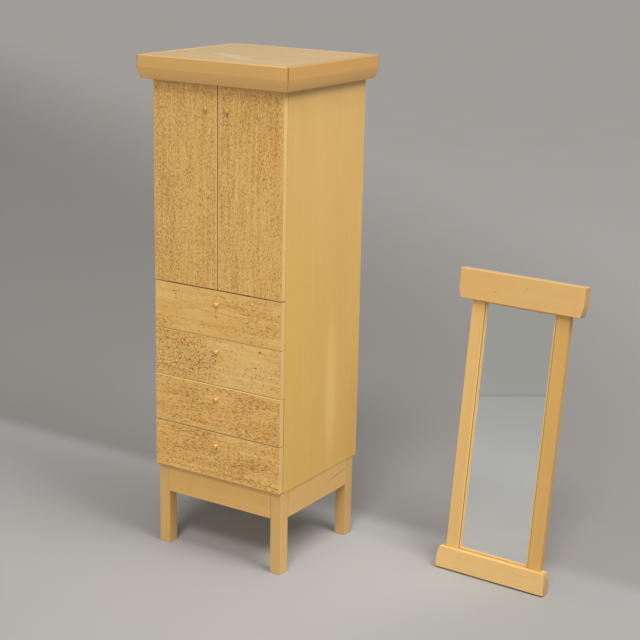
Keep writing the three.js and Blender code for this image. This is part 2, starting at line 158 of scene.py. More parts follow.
# %% A bench for node trees
class Bench:
    """Something with a node tree. A socket takes a number, a colour or another node's output."""

    def put(self, node, socket, value):
        if isinstance(value, bpy.types.NodeSocket):
            self.tree.links.new(value, node.inputs[socket])
        elif value is not None:
            node.inputs[socket].default_value = value

    def add(self, kind, sockets, output=0, **settings):
        node = self.tree.nodes.new(kind)
        for key, value in settings.items():
            setattr(node, key, value)
        for socket, value in sockets.items():
            self.put(node, socket, value)
        return node.outputs[output]

    def math(self, operation, a, b=None, c=None, clamp=False):
        return self.add("ShaderNodeMath", {0: a, 1: b, 2: c}, operation=operation, use_clamp=clamp)

    def times(self, a, b, clamp=False):
        return self.math("MULTIPLY", a, b, clamp=clamp)

    def plus(self, a, b):
        return self.math("ADD", a, b)

    def minus(self, a, b):
        return self.math("SUBTRACT", a, b)


print("bench ready")

# %% A finish on the bench
class Finish(Bench):
    """A material that is built node by node on the object's own coordinates, in metres."""

    def __init__(self, name, roughness=0.4, metallic=0.0, coat=0.0, coat_roughness=0.2):
        self.material = bpy.data.materials.new(name)
        self.material.use_nodes = True
        self.tree = self.material.node_tree
        self.shader = self.tree.nodes["Principled BSDF"]
        self.shader.inputs["Roughness"].default_value = roughness
        self.shader.inputs["Metallic"].default_value = metallic
        self.shader.inputs["Coat Weight"].default_value = coat
        self.shader.inputs["Coat Roughness"].default_value = coat_roughness
        place = self.tree.nodes.new("ShaderNodeTexCoord")
        self.object_place = place.outputs["Object"]
        self.object_normal = place.outputs["Normal"]

    def vector(self, operation, a, b=None, output=0):
        return self.add("ShaderNodeVectorMath", {0: a, 1: b}, output, operation=operation)

    def mapped(self, place, location=(0, 0, 0), rotation=(0, 0, 0), scale=(1, 1, 1), kind="POINT"):
        sockets = {"Vector": place, "Location": location, "Rotation": rotation, "Scale": scale}
        return self.add("ShaderNodeMapping", sockets, vector_type=kind)

    def axes(self, place):
        node = self.tree.nodes.new("ShaderNodeSeparateXYZ")
        self.put(node, 0, place)
        return node.outputs

    def noise(self, place, scale=1.0, detail=2.0, roughness=0.5, distortion=0.0):
        sockets = {
            "Vector": place, "Scale": scale, "Detail": detail, "Roughness": roughness,
            "Distortion": distortion}
        return self.add("ShaderNodeTexNoise", sockets, "Fac")

    def step(self, value, low, high, to_low=0.0, to_high=1.0):
        """A soft step: to_low below low, to_high above high. High may be below low."""
        flip = low > high
        if flip:
            low, high, to_low, to_high = high, low, to_high, to_low
        sockets = {0: value, 1: low, 2: high, 3: to_low, 4: to_high}
        return self.add("ShaderNodeMapRange", sockets, interpolation_type="SMOOTHSTEP")

    def spread(self, value, low, high, to_low, to_high):
        return self.add("ShaderNodeMapRange", {0: value, 1: low, 2: high, 3: to_low, 4: to_high})

    def mix(self, share, a, b):
        colours = [value if isinstance(value, bpy.types.NodeSocket) else (*value, 1.0) for value in (a, b)]
        return self.add("ShaderNodeMix", {0: share, 6: colours[0], 7: colours[1]}, 2, data_type="RGBA")

    def colour(self, value):
        self.put(self.shader, "Base Color", value)

    def gloss(self, value):
        self.put(self.shader, "Roughness", value)

    def relief(self, height, distance, strength=0.4):
        bump = self.add("ShaderNodeBump", {"Height": height, "Distance": distance, "Strength": strength})
        self.put(self.shader, "Normal", bump)


print("finishes can be mixed")

# %% [markdown]
# ## Plain birch
# The sides, cornice, base and mirror frame are plain lacquered birch: honey yellow, nearly even,
# with faint long streaks along the grain, finer fibres and a soft shimmer. An image of wood would
# show its edges and repeat, and wouldn't follow each board. So the grain is noise that is stretched
# along the board, with each board's own offset, and a board's sawn ends are darker.

# %% Grain coordinates
ALONG = {
    # what turns each board's grain to run along Z
    "x": (0.0, -math.pi / 2, 0.0),
    "y": (math.pi / 2, 0.0, 0.0),
    "z": (0.0, 0.0, 0.0),
}
MIRROR_TURN, MIRROR_LEAN = math.radians(-1.6), math.radians(7.4)
BOARD_STEP = (3.7, 1.3, 0.7)


def grain_place(finish, grain, board, leaning=False):
    """The object's coordinates with Z along the grain, moved to another part of the wood for each board."""
    place = finish.object_place
    if leaning:
        place = finish.mapped(place, rotation=(-MIRROR_LEAN, 0, MIRROR_TURN), kind="TEXTURE")
    offset = [board * step for step in BOARD_STEP]
    return finish.mapped(place, location=offset, rotation=ALONG[grain])


def stretched(finish, place, across, along, **noise):
    """Noise whose marks are about that long across and along the grain, in metres."""
    return finish.noise(finish.mapped(place, scale=(1 / across, 1 / across, 1 / along)), **noise)


# %% Plain birch
BIRCH_LIGHT = (0.735, 0.462, 0.158)
BIRCH_DARK = (0.560, 0.320, 0.090)
BIRCH_END = (0.420, 0.245, 0.090)
TINTS = {
    # red, green and blue: how each kind of board departs from the usual honey colour, and what makes up
    # for the light on it
    "side": (0.98, 0.975, 0.90),
    "top_panel": (0.84, 0.88, 0.97),
    "leg_rear_right": (0.93, 0.93, 1.01),
    "leg": (1.05, 1.04, 1.11),
    "base_rail_right": (1.05, 1.05, 1.11),
    "base_rail": (1.13, 1.07, 0.96),
    "cornice_right": (0.78, 0.70, 0.57),
    "cornice": (1.13, 1.06, 1.07),
    "mirror_top_rail": (1.05, 1.06, 1.17),
    "mirror_bottom_rail": (1.17, 1.24, 1.48),
    "mirror_stile_left": (1.12, 1.17, 1.33),
    "mirror_stile_right": (0.98, 0.94, 0.85),
    "mirror_slip": (1.18, 1.26, 1.50),
}


def tinted(name, colour):
    """A colour with the tint of the board's kind, if it has one."""
    kind = next((kind for kind in TINTS if name.startswith(kind)), None)
    return tuple(value * share for value, share in zip(colour, TINTS.get(kind, (1, 1, 1))))


def wood_colour(finish, place, light, dark):
    """Bands, streaks and fibres of one wood, and the fibres alone, which raise the surface."""
    bands = stretched(finish, place, 0.09, 1.6, detail=2.0)
    streaks = stretched(finish, place, 0.013, 0.5, detail=3.0, roughness=0.6)
    fibres = stretched(finish, place, 0.0016, 0.06, detail=2.0)
    shimmer = stretched(finish, place, 0.05, 0.03, detail=1.0)
    tone = finish.times(bands, 0.42)
    for part, weight in ((streaks, 0.40), (fibres, 0.24), (shimmer, 0.14)):
        tone = finish.plus(tone, finish.times(part, weight))
    middle = 0.6
    share = finish.spread(tone, middle - 0.5, middle + 0.5, 0.0, 1.0)
    return finish.mix(share, light, dark), fibres


def ends_mask(finish, grain, leaning=False):
    """1 on the sawn ends of a board, 0 elsewhere."""
    normal = finish.object_normal
    if leaning:
        normal = finish.mapped(normal, rotation=(-MIRROR_LEAN, 0, MIRROR_TURN), kind="TEXTURE")
    along = finish.axes(normal)["XYZ".index(grain.upper())]
    return finish.step(finish.math("ABSOLUTE", along), 0.75, 0.95)


INNER_LIGHT = (0.770, 0.560, 0.275)
INNER_DARK = (0.610, 0.405, 0.165)
CASE_LEFT, CASE_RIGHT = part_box("side_left")[0].x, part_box("side_right")[1].x
# how far in from its outer face a side still counts as lacquered
LACQUER_DEPTH = 5 * MM
CASE_MIDDLE = (CASE_LEFT + CASE_RIGHT) / 2
CASE_INNER = (CASE_RIGHT - CASE_LEFT) / 2 - LACQUER_DEPTH
SIDE_BANDS_AND_REFLECTION = (
    # centre along and up the side, half width and height, strength, colour
    # the first band is a painted reflection, a pale upright streak of light; the other two are the wood's
    # own darker bands
    ((0.042, 0.500), (0.048, 0.300), 0.34, (0.86, 0.58, 0.24)),
    ((0.175, 0.340), (0.080, 0.320), 0.45, (0.60, 0.32, 0.085)),
    ((-0.185, 0.720), (0.050, 0.420), 0.30, (0.66, 0.38, 0.095)),
)
# up the sides the colour goes from more amber at the foot to paler at the top; the paler top is painted
# light that lifts the shade under the cornice
TONE_FROM, TONE_TO = 0.72, 1.40
LOW_TONE, HIGH_TONE_AND_LIGHT = (1.06, 1.06, 0.88), (0.98, 1.01, 1.08)
RAIL_KNOTS = (
    # centre across and up the mirror, turn in degrees, half length and width, strength
    ((0.0193, 0.8676), 20, (0.0034, 0.0022), 0.85),
    ((-0.0795, 0.8433), -6, (0.0095, 0.0020), 0.45),
)
LINE_SLOPE, LINE_LEVEL = 0.102, 0.2102
# where the slips meet the frame, across and up the mirror: from, to
SLIP_SIDE, SLIP_FOOT, SLIP_HEAD = (0.1113, 0.1119), (0.0676, 0.0670), (0.8084, 0.8090)
# the pale of the painted reflection on the top, and the amber of the right stile's outer face
REFLECTION_PALE, AMBER = (0.84, 0.72, 0.54), (0.46, 0.23, 0.06)
# the dark brown of knots and marks, and of the painted shade in the slips' groove
MARK_AND_SHADE_BROWN = (0.180, 0.085, 0.030)
MITRE_BROWN = (0.240, 0.105, 0.026)
BAND_FOOT = 1.447
MIRROR_FOOT = (0.40119, 0.13382, 0.0)
MITRES = (
    # the plane of each corner's joint: the sign of y, what x plus that y comes to, and its half of the set
    (1, -0.3405, "front"), (-1, -0.3461, "front"), (-1, -0.2996, "rear"), (1, -0.3870, "rear"),
)


def soft_oval(finish, place, centre, turn, reach):
    """1 in the middle of an oval in the plane of x and y, 0 from its edge on."""
    turned = (0, 0, math.radians(turn))
    inside = finish.mapped(
        place, location=(*centre, 0), rotation=turned, scale=(*reach, 1), kind="TEXTURE")
    x, y, _ = finish.axes(inside)
    flat = finish.add("ShaderNodeCombineXYZ", {"X": x, "Y": y})
    return finish.step(finish.vector("LENGTH", flat, output="Value"), 1.0, 0.2)


def mirror_place(finish):
    """The mirror's own coordinates: x across its face, y backwards, z up its face from its foot."""
    return finish.mapped(
        finish.object_place, location=MIRROR_FOOT, rotation=(-MIRROR_LEAN, 0, MIRROR_TURN), kind="TEXTURE")


def mitre_lines(finish, colour):
    """A thin brown line along each mitred corner, clearest on the upright band."""
    x, y, z = finish.axes(finish.object_place)
    on_band = finish.step(z, BAND_FOOT - 4 * MM, BAND_FOOT + 3 * MM, 0.25, 1.0)
    for sign, level, half in MITRES:
        off = finish.minus(finish.math("MULTIPLY_ADD", y, sign, x), level)
        line = finish.step(finish.math("ABSOLUTE", off), 3.4 * MM, 1.4 * MM, 0.0, 0.75)
        in_half = finish.math("LESS_THAN" if half == "front" else "GREATER_THAN", y, 0.0)
        colour = finish.mix(finish.times(line, finish.times(in_half, on_band)), colour, MITRE_BROWN)
    return colour


def rail_dark_line(finish, colour):
    """A thin dark line that climbs along the right rail."""
    _, y, z = finish.axes(finish.object_place)
    rise = finish.minus(z, finish.math("MULTIPLY_ADD", y, LINE_SLOPE, LINE_LEVEL))
    line = finish.step(finish.math("ABSOLUTE", rise), 1.6 * MM, 0.4 * MM, 0.0, 0.7)
    within = finish.times(finish.step(y, 0.025, 0.055), finish.step(y, 0.165, 0.140))
    return finish.mix(finish.times(line, within), colour, MARK_AND_SHADE_BROWN)


def painted_reflection_streak(finish, colour):
    """A painted reflection on the top: a soft pale streak."""
    share = soft_oval(finish, finish.object_place, (-0.378, -0.104), -26, (0.135, 0.036))
    return finish.mix(finish.times(share, 0.26), colour, REFLECTION_PALE)


def rail_knots(finish, colour):
    """Two pin knots in the face of the mirror's top rail."""
    x, _, z = finish.axes(mirror_place(finish))
    face = finish.add("ShaderNodeCombineXYZ", {"X": x, "Y": z})
    in_face = finish.step(finish.axes(finish.object_normal)["Y"], 0.0, -0.5)
    for centre, turn, reach, amount in RAIL_KNOTS:
        share = finish.times(soft_oval(finish, face, centre, turn, reach), finish.times(in_face, amount))
        colour = finish.mix(share, colour, MARK_AND_SHADE_BROWN)
    return colour


def painted_slip_shade(finish, colour):
    """Painted shade: a dark line where the slips meet the frame, in the groove between them."""
    x, _, z = finish.axes(mirror_place(finish))
    at_side = finish.step(finish.math("ABSOLUTE", x), *SLIP_SIDE)
    at_foot, at_head = finish.step(z, *SLIP_FOOT, 0.0, 0.6), finish.step(z, *SLIP_HEAD)
    groove = finish.math("MAXIMUM", at_side, finish.math("MAXIMUM", at_foot, at_head))
    return finish.mix(finish.times(groove, 0.85), colour, MARK_AND_SHADE_BROWN)


def amber_edge(finish, colour):
    """The outer face of the right stile is darker and more amber than its front."""
    outer = finish.step(finish.axes(finish.object_normal)["X"], 0.5, 0.8)
    return finish.mix(finish.times(outer, 0.5), colour, AMBER)


def side_bands_and_light(finish, colour):
    """The sides are more amber towards their foot and paler towards the top, where the paler colour is
    painted light that lifts the shade under the cornice. They have soft upright bands, one of them a painted
    reflection. Their inner faces are bare wood."""
    x, y, z = finish.axes(finish.object_place)
    bare, _ = wood_colour(finish, grain_place(finish, "z", 40), INNER_LIGHT, INNER_DARK)
    from_middle = finish.math("ABSOLUTE", finish.minus(x, CASE_MIDDLE))
    sideways = finish.math("ABSOLUTE", finish.axes(finish.object_normal)["X"])
    inner = finish.times(finish.math("LESS_THAN", from_middle, CASE_INNER), finish.step(sideways, 0.5, 0.8))
    face = finish.add("ShaderNodeCombineXYZ", {"X": y, "Y": z})
    for centre, reach, amount, tone in SIDE_BANDS_AND_REFLECTION:
        share = finish.times(soft_oval(finish, face, centre, 0, reach), amount)
        colour = finish.mix(share, colour, tone)
    tone_and_light = finish.mix(finish.spread(z, TONE_FROM, TONE_TO, 0.0, 1.0), LOW_TONE, HIGH_TONE_AND_LIGHT)
    sockets = {0: 1.0, 6: colour, 7: tone_and_light}
    lacquered = finish.add("ShaderNodeMix", sockets, 2, data_type="RGBA", blend_type="MULTIPLY")
    return finish.mix(inner, lacquered, bare)


OWN_MARKS = {
    "side": side_bands_and_light,
    "cornice": mitre_lines,
    "base_rail_right": rail_dark_line,
    "top_panel": painted_reflection_streak,
    "mirror_top_rail": rail_knots,
    "mirror_slip": painted_slip_shade,
    "mirror_stile_right": amber_edge,
}


def plain_birch(
        name, grain, board, leaning=False, light=BIRCH_LIGHT, dark=BIRCH_DARK, roughness=0.36,
        coat=0.25, marks=None):
    """One board's finish. Marks is a function that adds what this kind of board alone shows."""
    finish = Finish(name, roughness=roughness, coat=coat, coat_roughness=0.25)
    place = grain_place(finish, grain, board, leaning)
    colour, fibres = wood_colour(finish, place, light, dark)
    pores = stretched(finish, place, 0.0012, 0.012, detail=1.0)
    colour = finish.mix(finish.step(pores, 0.66, 0.78, 0.0, 0.28), colour, BIRCH_END)
    rings = stretched(finish, place, 0.006, 1.0, detail=2.0)
    end = finish.mix(rings, BIRCH_END, dark)
    colour = finish.mix(ends_mask(finish, grain, leaning), colour, end)
    finish.colour(marks(finish, colour) if marks else colour)
    finish.gloss(finish.spread(fibres, 0.3, 0.7, roughness - 0.04, roughness + 0.05))
    finish.relief(fibres, 0.00012)
    return finish.material


def wear(node, *materials):
    """Gives a carried-over piece its finish."""
    slots = nodes[node].material_slots
    for slot, material in zip(slots, materials):
        slot.material = material


BOARDS = {
    "z": ["side_left", "side_right", "leg_front_left", "leg_front_right", "leg_rear_left", "leg_rear_right"],
    "x": ["cornice_front", "cornice_back", "top_panel", "base_rail_front", "base_rail_rear"],
    "y": ["cornice_left", "cornice_right", "base_rail_left", "base_rail_right"],
}
MIRROR_BOARDS = {
    "z": ["mirror_stile_left", "mirror_stile_right", "mirror_slip_left", "mirror_slip_right"],
    "x": ["mirror_top_rail", "mirror_bottom_rail", "mirror_slip_top", "mirror_slip_bottom"],
}
board = 0
for leaning, table in ((False, BOARDS), (True, MIRROR_BOARDS)):
    for grain, names in table.items():
        for name in names:
            board += 1
            own = next((mark for kind, mark in OWN_MARKS.items() if name.startswith(kind)), None)
            light, dark = tinted(name, BIRCH_LIGHT), tinted(name, BIRCH_DARK)
            wear(name, plain_birch(f"birch {name}", grain, board, leaning, light, dark, marks=own))
print("plain birch on", board, "boards")

# %% [markdown]
# ## Figured birch
# The doors and drawer fronts are faced with masur birch, whose figure is a scatter of short brown
# strokes, thick in some places and nearly absent in others. Round them runs a narrow plain lipping.
# The strokes could be painted by hand, but each front has thousands. Stretched noise that is cut off
# at a level gives small crooked marks, and a Voronoi pattern in stretched cells adds finer ones
# between them. A slow mask gathers both in columns along the grain, and a few patches named for
# each front say where they are thick.

# %% Figured birch
FIGURE_BASE = (0.930, 0.612, 0.213)
FIGURE_WARM = (0.895, 0.508, 0.139)
FIGURE_STREAK = (0.730, 0.394, 0.092)
FIGURE_STROKE = (0.450, 0.172, 0.023)
DARK_STROKE = (0.190, 0.072, 0.018)
DOOR_STRENGTH, DRAWER_STRENGTH = 1.0, 1.10
LIPPING_LIGHT = (0.785, 0.508, 0.187)
LIPPING_DARK = (0.660, 0.395, 0.125)
# the colour of a painted highlight along one arris of some fronts
ARRIS_PAINTED_HIGHLIGHT = (0.930, 0.640, 0.270)
ARRIS = 2.2 * MM
# the colour of the painted shade in the gaps between fronts; GAP_FROM and GAP_TO below give the depths
# between which it lies
GAP_SHADE_BROWN = (0.330, 0.140, 0.040)
FIGURE_PALE = (0.950, 0.690, 0.285)
GAP_FROM, GAP_TO = 1.3 * MM, 6.5 * MM
LIPPING = 3 * MM
FACE_DEPTH = 0.9 * MM


def strokes(finish, place, across, along, share, size=0.34):
    """A mask of short strokes: across and along are a cell's size, share says how many cells have one."""
    cells = finish.mapped(place, scale=(1 / across, 1 / along, 0))
    node = finish.tree.nodes.new("ShaderNodeTexVoronoi")
    node.voronoi_dimensions = "2D"
    finish.put(node, "Vector", cells)
    finish.put(node, "Scale", 1.0)
    lot = finish.axes(node.outputs["Color"])["X"]
    chosen = finish.math("LESS_THAN", lot, share)
    return finish.times(finish.step(node.outputs["Distance"], size, size * 0.5), chosen)


def worms(finish, place, across, along, share):
    """A mask of small crooked marks. They thicken and run together as the share rises."""
    drift = finish.mapped(place, scale=(1 / across, 1 / along, 1))
    lot = finish.noise(drift, detail=1.5, roughness=0.5, distortion=0.7)
    return finish.step(finish.math("MULTIPLY_ADD", share, 0.24, lot), 0.655, 0.715)


def patch(finish, place, centre, reach):
    """1 at the centre of an oval patch, falling to 0 at its reach. Both are shares of the front."""
    inside = finish.mapped(place, location=(*centre, 0), scale=(*reach, 1), kind="TEXTURE")
    return finish.step(finish.vector("LENGTH", inside, output="Value"), 1.0, 0.25)


def figured_birch(node, upright, seed, base_share, patches, bold=(), pale=(), knots=(), bright=None):
    """The facing of one front. A patch is (centre, reach, amount), in shares of the front's width and
    height: of strokes, of bold strokes, or of paler wood.

    A knot is a dark dash: its centre (x, z) in the set, its turn and its half length and width.
    Bright is the edge, right or head, along whose arris a highlight is painted."""
    low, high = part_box(node)
    size = high - low
    finish = Finish(f"figured birch {node}", roughness=0.38, coat=0.2, coat_roughness=0.28)
    x, y, z = finish.axes(finish.object_place)
    flat = finish.add("ShaderNodeCombineXYZ", {"X": finish.minus(x, low.x), "Y": finish.minus(z, low.z)})
    shares = finish.mapped(flat, scale=(1 / size.x, 1 / size.z, 1))
    quarter = 0 if upright else math.pi / 2
    turned = finish.mapped(flat, location=(seed, seed * 0.7, 0), rotation=(0, 0, quarter))
    sway = finish.add("ShaderNodeTexNoise", {"Vector": turned, "Scale": 90.0, "Detail": 1.0}, "Color")
    wander = finish.vector("SCALE", finish.vector("SUBTRACT", sway, (0.5, 0.5, 0.5)))
    wander.node.inputs["Scale"].default_value = 0.007
    place = finish.vector("ADD", turned, wander)

    columns = finish.noise(finish.mapped(turned, scale=(95, 4.5, 1)), detail=3.0, roughness=0.6)
    swing, column_swing = (0.11, 0.19) if upright else (0.18, 0.26)
    drifts = finish.noise(finish.mapped(turned, scale=(22, 7, 1)), detail=2.0)
    share = finish.spread(drifts, 0.3, 0.7, -swing, swing)
    share = finish.plus(share, finish.spread(columns, 0.3, 0.7, -column_swing, column_swing))
    share = finish.plus(share, base_share)
    for centre, reach, amount in patches:
        share = finish.plus(share, finish.times(patch(finish, shares, centre, reach), amount))
    fine = worms(finish, place, 2.7 * MM, (8 if upright else 12) * MM, share)
    finer = strokes(finish, finish.mapped(place, location=(0.4, 0.2, 0)), 2.1 * MM, 7 * MM, share, size=0.38)
    marks = finish.math("MAXIMUM", fine, finish.times(finer, 0.70))
    marks = finish.times(marks, DOOR_STRENGTH if upright else DRAWER_STRENGTH)
    heavy_marks = None
    if bold:
        heavy_share = -0.05
        for centre, reach, amount in bold:
            heavy = finish.times(patch(finish, shares, centre, reach), amount)
            heavy_share = finish.plus(heavy_share, heavy)
        slanted = finish.mapped(place, rotation=(0, 0, math.radians(30)))
        crooked = worms(finish, slanted, 3.8 * MM, 8.5 * MM, finish.times(heavy_share, 0.66))
        dots = strokes(finish, slanted, 5.2 * MM, 9.0 * MM, finish.times(heavy_share, 0.5), size=0.30)
        heavy_marks = finish.math("MAXIMUM", crooked, dots)
        marks = finish.times(marks, 0.8)

    streaks = finish.noise(finish.mapped(place, scale=(330, 22, 1)), detail=3.0, roughness=0.65)
    clouds = finish.noise(finish.mapped(turned, scale=(34, 5, 1)), detail=2.0)
    cloudy = finish.step(clouds, 0.36, 0.70, 0.0, 0.5 if upright else 0.8)
    colour = finish.mix(cloudy, FIGURE_BASE, FIGURE_WARM)
    for centre, reach, amount in pale:
        colour = finish.mix(finish.times(patch(finish, shares, centre, reach), amount), colour, FIGURE_PALE)
    colour = finish.mix(finish.spread(columns, 0.32, 0.68, 0.0, 0.50), colour, FIGURE_STREAK)
    colour = finish.mix(finish.spread(streaks, 0.32, 0.68, 0.0, 0.62), colour, FIGURE_STREAK)
    colour = finish.mix(finish.times(marks, 0.80, clamp=True), colour, FIGURE_STROKE)
    moved = finish.mapped(place, location=(0.9, 0.5, 0))
    specks = strokes(finish, moved, 3.6 * MM, 5.5 * MM, finish.times(share, 0.5), size=0.30)
    colour = finish.mix(finish.times(specks, 0.50), colour, DARK_STROKE)
    if heavy_marks:
        colour = finish.mix(finish.times(heavy_marks, 0.92), colour, DARK_STROKE)
    face = finish.add("ShaderNodeCombineXYZ", {"X": x, "Y": z})
    for centre, turn, reach in knots:
        colour = finish.mix(soft_oval(finish, face, centre, turn, reach), colour, MARK_AND_SHADE_BROWN)

    plain_place = grain_place(finish, "z" if upright else "x", seed)
    plain, _ = wood_colour(finish, plain_place, LIPPING_LIGHT, LIPPING_DARK)
    from_left, from_right = finish.minus(x, low.x), finish.minus(high.x, x)
    from_foot, from_head = finish.minus(z, low.z), finish.minus(high.z, z)
    nearest_side = finish.math("MINIMUM", from_left, from_right)
    nearest = finish.math("MINIMUM", nearest_side, finish.math("MINIMUM", from_foot, from_head))
    faced = finish.math("GREATER_THAN", nearest, LIPPING)
    depth = finish.minus(y, low.y)
    in_front = finish.math("LESS_THAN", depth, FACE_DEPTH)
    normal = finish.axes(finish.object_normal)
    meeting = finish.math("ABSOLUTE", normal["Z"])
    if upright:
        towards_middle = finish.times(normal["X"], 1.0 if "left" in node else -1.0)
        meeting = finish.math("MAXIMUM", meeting, towards_middle)
    # Painted shade: the fronts' top and bottom edges, and a door's edge towards the middle, are browned from
    # just behind the arris to about the depth that shows in the gap.
    past_arris = finish.step(depth, GAP_FROM, 2 * GAP_FROM, 0.0, 0.85)
    in_gap = finish.times(past_arris, finish.step(depth, GAP_TO, 0.7 * GAP_TO))
    painted_gap_shade = finish.times(finish.step(meeting, 0.6, 0.9), in_gap)
    matt = finish.step(meeting, 0.25, 0.70)
    plain = finish.mix(painted_gap_shade, plain, GAP_SHADE_BROWN)
    # painted highlight: a thin lighter strip along one arris
    if bright:
        from_arris = from_right if bright == "right" else from_head
        painted_arris_highlight = finish.times(finish.math("LESS_THAN", from_arris, ARRIS), in_front)
        plain = finish.mix(painted_arris_highlight, plain, ARRIS_PAINTED_HIGHLIGHT)
    finish.colour(finish.mix(finish.times(faced, in_front), plain, colour))
    finish.relief(finish.plus(streaks, marks), 0.00012)
    silky = finish.spread(streaks, 0.3, 0.7, 0.36, 0.44)
    finish.gloss(finish.math("MAXIMUM", silky, finish.times(matt, 0.8)))
    finish.put(finish.shader, "Coat Weight", finish.spread(matt, 0.0, 1.0, 0.2, 0.0))
    finish.put(finish.shader, "Specular IOR Level", finish.spread(matt, 0.0, 1.0, 0.5, 0.0))
    wear(node, finish.material)


figured_birch(
    "door_left_panel", True, 1.0, 0.42, [((0.1, 0.35), (0.4, 0.7), 0.14), ((0.9, 0.2), (0.3, 0.35), 0.12)],
    bright="right")
figured_birch(
    "door_right_panel", True, 2.0, 0.39,
    [((0.90, 0.80), (0.7, 0.5), 0.11), ((0.1, 0.5), (0.25, 0.7), 0.06)])
figured_birch(
    "drawer_1_front", False, 3.0, 0.04,
    [((0.80, 0.60), (0.5, 0.7), 0.34), ((0.0, 0.1), (0.35, 0.25), 0.42)],
    knots=[((-0.3464, 0.7530), -8, (0.0085, 0.0022)), ((-0.3464, 0.7480), -8, (0.0070, 0.0018))])
figured_birch(
    "drawer_2_front", False, 4.0, 0.02, [((0.1, 0.4), (0.5, 0.9), 0.26), ((1.0, 0.5), (0.12, 0.7), 0.4)],
    bold=[
        ((0.16, 0.5), (0.52, 1.1), 0.57), ((0.40, 0.25), (0.2, 0.4), 0.22),
        ((0.8, 0.3), (0.25, 0.7), 0.12)],
    pale=[((0.74, 0.5), (0.46, 1.6), 0.55)],
    knots=[((-0.1915, 0.6713), 10, (0.0075, 0.0045)), ((-0.2080, 0.6230), 10, (0.0070, 0.0030))])
figured_birch(
    "drawer_3_front", False, 5.0, 0.40, [((0.88, 0.4), (0.4, 0.7), 0.12), ((0.2, 0.55), (0.4, 0.4), 0.06)],
    bright="head")
figured_birch(
    "drawer_4_front", False, 6.0, 0.43, [((0.72, 0.3), (0.5, 0.6), 0.15), ((0.3, 0.7), (0.4, 0.5), 0.06)])
print("figured birch on 6 fronts")

# %% [markdown]
# ## Inner boards, boxes and backs
# Inside, the wood has no lacquer to speak of and is paler. The drawer boxes are joined with square
# fingers at the corners, so that the ends of one board show between those of the other, and their
# bottoms are plywood. Modelling each finger would cost many faces for lines that are never raised,
# so the joint is drawn by the finish, from the box's own corners.

# %% Inner birch and plywood
PLY_LIGHT = (0.705, 0.500, 0.250)
PLY_DARK = (0.565, 0.370, 0.160)

BARE = {"light": INNER_LIGHT, "dark": INNER_DARK, "roughness": 0.55, "coat": 0.0}
DRAWERS = (1, 2, 3, 4)
CROSS_BOARDS = ("case_bottom", "divider", "shelf", "case_top")
RUNNERS = [f"drawer_{number}_runner_{side}" for number in DRAWERS for side in ("left", "right")]

for grain, names in (("x", CROSS_BOARDS), ("y", RUNNERS)):
    for name in names:
        board += 1
        wear(name, plain_birch(f"inner birch {name}", grain, board, **BARE))


def plywood(name, grain, board):
    """Rotary-cut veneer: wide soft waves in place of straight streaks."""
    finish = Finish(name, roughness=0.62)
    place = grain_place(finish, grain, board)
    waves = finish.noise(finish.mapped(place, scale=(9, 9, 1.4)), detail=4.0, roughness=0.55, distortion=0.6)
    contour = finish.math("ABSOLUTE", finish.math("SINE", finish.times(waves, 46.0)))
    fibres = stretched(finish, place, 0.0018, 0.05, detail=2.0)
    share = finish.plus(finish.times(contour, 0.35), finish.times(fibres, 0.55))
    finish.colour(finish.mix(share, PLY_LIGHT, PLY_DARK))
    finish.relief(fibres, 0.00012)
    return finish.material


wear("back_panel", plywood("plywood back_panel", "z", 50))

# %% Drawer boxes with finger joints
BOX_WALL, BOX_FLOOR, FINGER = 12 * MM, 6 * MM, 13.5 * MM


